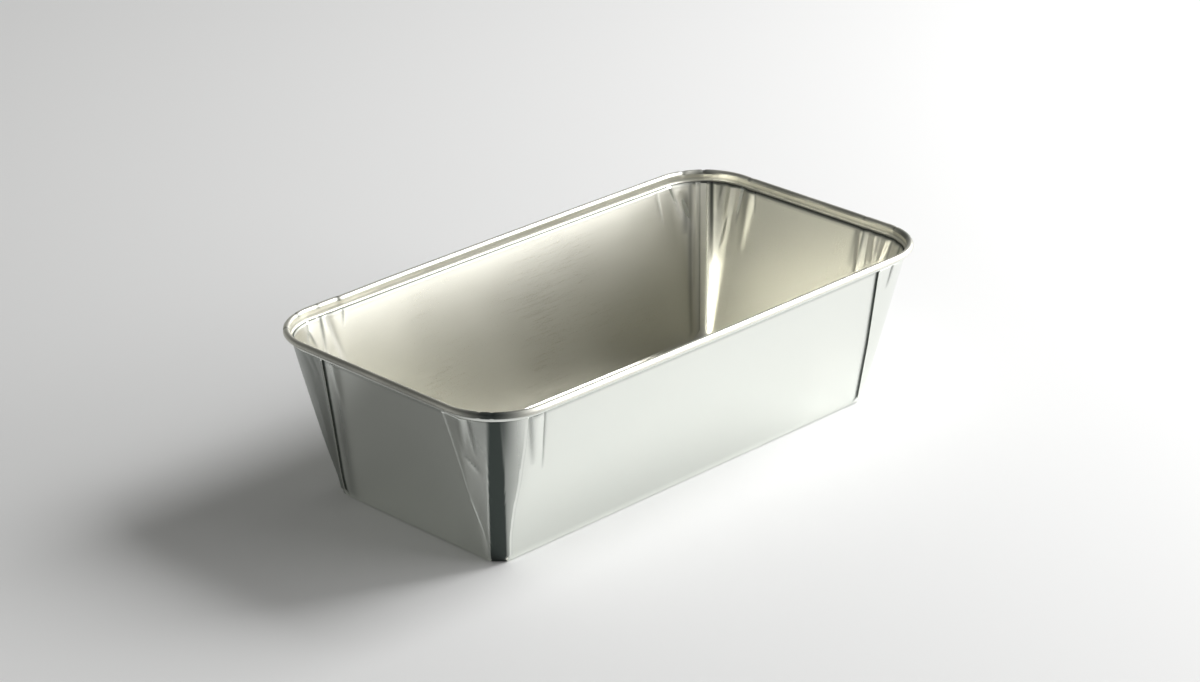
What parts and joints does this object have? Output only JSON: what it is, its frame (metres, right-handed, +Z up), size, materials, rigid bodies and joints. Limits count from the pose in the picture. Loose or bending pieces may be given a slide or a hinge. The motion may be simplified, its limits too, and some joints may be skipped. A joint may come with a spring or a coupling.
{
  "type": "aluminium foil tray",
  "caption": "Deep rectangular foil loaf tray with tapered walls, folded corners, a stepped ledge and a curled rim.",
  "frame": {"origin": "centre of the base's underside, which is the centre of the plan of the whole tray", "axes": "+X along the length, +Y along the width, +Z up out of the mouth"},
  "size_m": [0.215, 0.114, 0.0605],
  "materials": {
    "foil": "bright satin rolled foil, smoother on the outside"
  },
  "bodies": {
    "root": {"foil_tray": "foil"}
  },
  "joints": []
}
